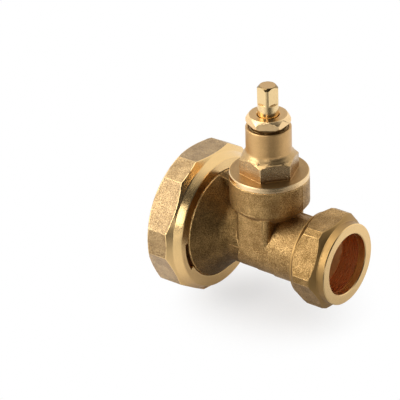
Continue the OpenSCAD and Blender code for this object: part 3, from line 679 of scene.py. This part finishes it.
half_width_m, mirrored_share = 6.0, 0.85
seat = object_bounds()[0]
board = bmesh.new()
bmesh.ops.create_grid(board, x_segments=1, y_segments=1, size=half_width_m,
                      matrix=Matrix.Translation((0, 0, seat.z)))
floor_mesh = bpy.data.meshes.new("floor")
board.to_mesh(floor_mesh)
board.free()
floor = bpy.data.objects.new("floor", floor_mesh)
bpy.context.scene.collection.objects.link(floor)
white_table = bpy.data.materials.new("white_table")
white_table.use_nodes = True
tree = white_table.node_tree
gloss = tree.nodes["Principled BSDF"]
gloss.inputs["Base Color"].default_value = (0.95, 0.95, 0.95, 1)
gloss.inputs["Roughness"].default_value = 0.25
gloss.inputs["IOR"].default_value = 1.3
flat = add(tree, "ShaderNodeVectorMath", {0: add(tree, "ShaderNodeTexCoord").outputs["Object"],
           1: (1, 1, 0)}, operation="MULTIPLY").outputs["Vector"]
away = add(tree, "ShaderNodeVectorMath", {0: flat}, operation="LENGTH").outputs["Value"]
# Painted shade: the glow that metal sees fades from 0.60 to 1.0 between 25 and 110 mm from the valve.
mirrored_painted_shade = fade(tree, away, start_mm=25, end_mm=110, low=0.60, high=1.0)
seen_share = fade(tree, away, start_mm=8, end_mm=41, low=0.55, high=1.0)
rays = add(tree, "ShaderNodeLightPath").outputs
mirrored = maths(tree, "MAXIMUM", rays["Is Glossy Ray"], rays["Is Transmission Ray"])
share = maths(tree, "MAXIMUM", maths(tree, "MULTIPLY", rays["Is Camera Ray"], seen_share),
              maths(tree, "MULTIPLY", mirrored, mirrored_share))
strength = maths(tree, "MAXIMUM", maths(tree, "MULTIPLY", mirrored, mirrored_painted_shade),
                 rays["Is Camera Ray"])
glow = add(tree, "ShaderNodeEmission", {"Color": (1, 1, 1, 1), "Strength": strength})
blend = add(tree, "ShaderNodeMixShader", {0: share, 1: gloss.outputs["BSDF"], 2: glow.outputs[0]})
tree.links.new(blend.outputs[0], tree.nodes["Material Output"].inputs["Surface"])
floor_mesh.materials.append(white_table)
print("table at", round(seat.z / MM, 2), "mm")

# %% [markdown]
# ## A dark card for the reflections
# Shiny metal that mirrors only white looks like plaster, so a photographer lays a dark card in front
# of it. This one is a disc just above the table, black in the middle and nearly white at its rim.
# The camera, the shadows and the bounced light pass through it, and only mirrors see it.

# %% Dark card
card_radius_m = 0.17
card_place = Vector((100, -85, 0)) * MM
card_middle = card_place + Vector((0, 0, seat.z + MM))
card_board = bmesh.new()
bmesh.ops.create_circle(card_board, cap_ends=True, segments=96, radius=card_radius_m,
                        matrix=Matrix.Translation(card_middle))
card_mesh = bpy.data.meshes.new("dark_card")
card_board.to_mesh(card_mesh)
card_board.free()
card = bpy.data.objects.new("dark_card", card_mesh)
bpy.context.scene.collection.objects.link(card)
card.visible_camera = card.visible_shadow = card.visible_diffuse = False
black_felt = bpy.data.materials.new("black_felt")
black_felt.use_nodes = True
tree = black_felt.node_tree
felt = tree.nodes["Principled BSDF"]
spot = add(tree, "ShaderNodeTexCoord").outputs["Object"]
away = add(tree, "ShaderNodeVectorMath", {0: spot, 1: card_middle},
           operation="DISTANCE").outputs["Value"]
tone = fade(tree, away, start_mm=12, end_mm=165, low=0.03, high=0.95)
tree.links.new(ramp(tree, tone, (0.0, 0.0), (1.0, 1.0)), felt.inputs["Base Color"])
card_mesh.materials.append(black_felt)
print("card at", [round(c, 2) for c in card_place])

# %% [markdown]
# ## The room
# Metal shows what stands round it, so the room matters more than the lamps. It is white behind the
# valve and dark on the camera's side, which gives the brass its deep browns, with a soft change
# between the two.

# %% Room
white_side, dark_side = (0.48, 1.00), (0.74, 0.04)
world = bpy.data.worlds.new("room")
bpy.context.scene.world = world
world.use_nodes = True
tree = world.node_tree
direction = add(tree, "ShaderNodeTexCoord").outputs["Generated"]
towards_camera = add(tree, "ShaderNodeVectorMath", {0: direction, 1: (0.70, -0.71, 0.0)},
                     operation="DOT_PRODUCT").outputs["Value"]
room = ramp(tree, maths(tree, "MULTIPLY_ADD", towards_camera, 0.5, 0.5), white_side, dark_side)
tree.links.new(room, tree.nodes["Background"].inputs["Color"])
print("room:", world.name)

# %% [markdown]
# ## The lamps
# Three soft lamps light the valve. A wide one overhead lights the table and throws the soft shadow,
# a square one low on the left draws the bright flats, and a narrow one in front draws the bright
# streaks on the round parts. A lamp's radiance is 1 where it is as bright as white paper.

# %% Lamps
def softbox(name, towards, distance, wide, high, radiance):
    """A soft lamp that looks at the valve; its radiance is 1 for the light of white paper."""
    data = bpy.data.lights.new(name, "AREA")
    data.shape = "RECTANGLE"
    data.size, data.size_y = wide, high
    data.energy = radiance * math.pi * wide * high
    lamp = bpy.data.objects.new(name, data)
    towards = Vector(towards).normalized()
    lamp.location = towards * distance
    lamp.rotation_mode = "QUATERNION"
    lamp.rotation_quaternion = towards.to_track_quat("Z", "Y")
    bpy.context.scene.collection.objects.link(lamp)
    return lamp


softbox("left_lamp", (-0.56, -0.76, 0.36), distance=0.75, wide=0.42, high=0.42, radiance=4.2)
softbox("front_lamp", (0.31, -0.86, 0.36), distance=0.80, wide=0.16, high=0.41, radiance=4.6)
softbox("top_lamp", (-0.35, -0.22, 0.90), distance=1.05, wide=0.95, high=0.95, radiance=1.6)
print("lamps:", len(bpy.data.lights))
